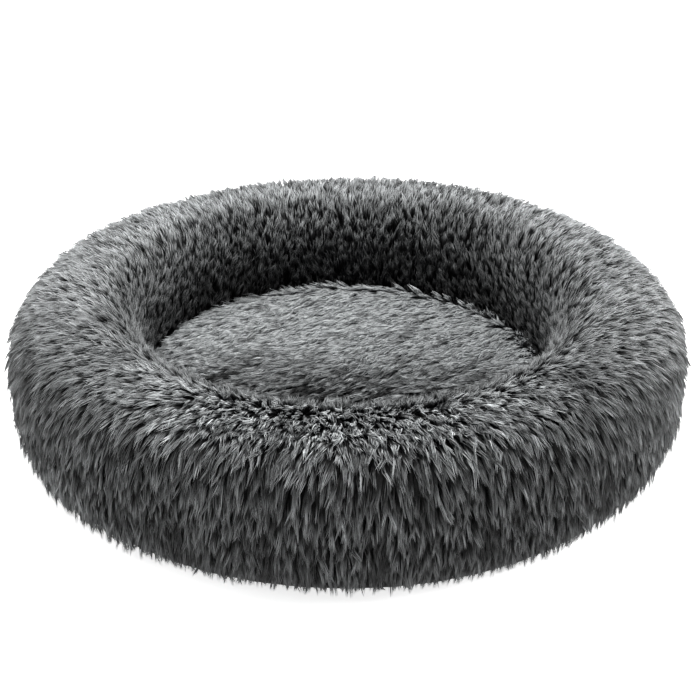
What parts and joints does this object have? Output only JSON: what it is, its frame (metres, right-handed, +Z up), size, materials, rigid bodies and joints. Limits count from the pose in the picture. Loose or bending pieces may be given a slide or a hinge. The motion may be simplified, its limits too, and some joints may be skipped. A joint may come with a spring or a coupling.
{
  "type": "pet cushion bed",
  "caption": "Round pet bed with a deep stuffed ring around a soft padded seat, covered in long shaggy plush, with a woven base that opens with a zip.",
  "frame": {"origin": "centre of the base, on the floor", "axes": "+Z up; +X along the zip towards its closed end; +Y towards the back of the bed"},
  "size_m": [0.6872, 0.6872, 0.147],
  "materials": {
    "rim_plush": "long shaggy plush, charcoal roots with silver grey tips",
    "seat_plush": "long plush combed flat, mid grey with dark streaks",
    "liner_cloth": "thin non-woven cloth",
    "fibre_filling": "loose polyester fibre",
    "base_cloth": "plain woven cloth with small raised grip dots",
    "binding_tape": "ribbed tape",
    "label_satin": "blank satin",
    "zip_tape": "herringbone woven tape",
    "zip_coil": "moulded coil",
    "zip_metal": "dark painted metal"
  },
  "bodies": {
    "bed": {"rim_cover": "rim_plush", "rim_liner": "liner_cloth", "rim_filling": "fibre_filling", "seat_cover": "seat_plush", "seat_liner": "liner_cloth", "seat_filling": "fibre_filling", "foot_panel": "base_cloth", "hem_binding": "binding_tape", "middle_panel_front": "base_cloth", "middle_panel_back": "base_cloth", "care_label": "label_satin", "zip_tape_front": "zip_tape", "zip_tape_back": "zip_tape", "zip_coil_front": "zip_coil", "zip_coil_back": "zip_coil", "zip_top_stop_front": "zip_metal", "zip_top_stop_back": "zip_metal", "zip_bottom_stop": "zip_metal"},
    "slider": {"zip_slider": "zip_metal"},
    "pull": {"zip_pull": "zip_metal"}
  },
  "joints": [
    {"name": "zip_slide", "type": "slide", "parent": "bed", "child": "slider", "axis": [-1, 0, 0], "range_m": [0, 0.318]},
    {"name": "pull_hinge", "type": "hinge", "parent": "slider", "child": "pull", "pos_m": [0.1605, 0, 0.0054], "axis": [0, -1, 0], "range_deg": [0, 170]}
  ]
}
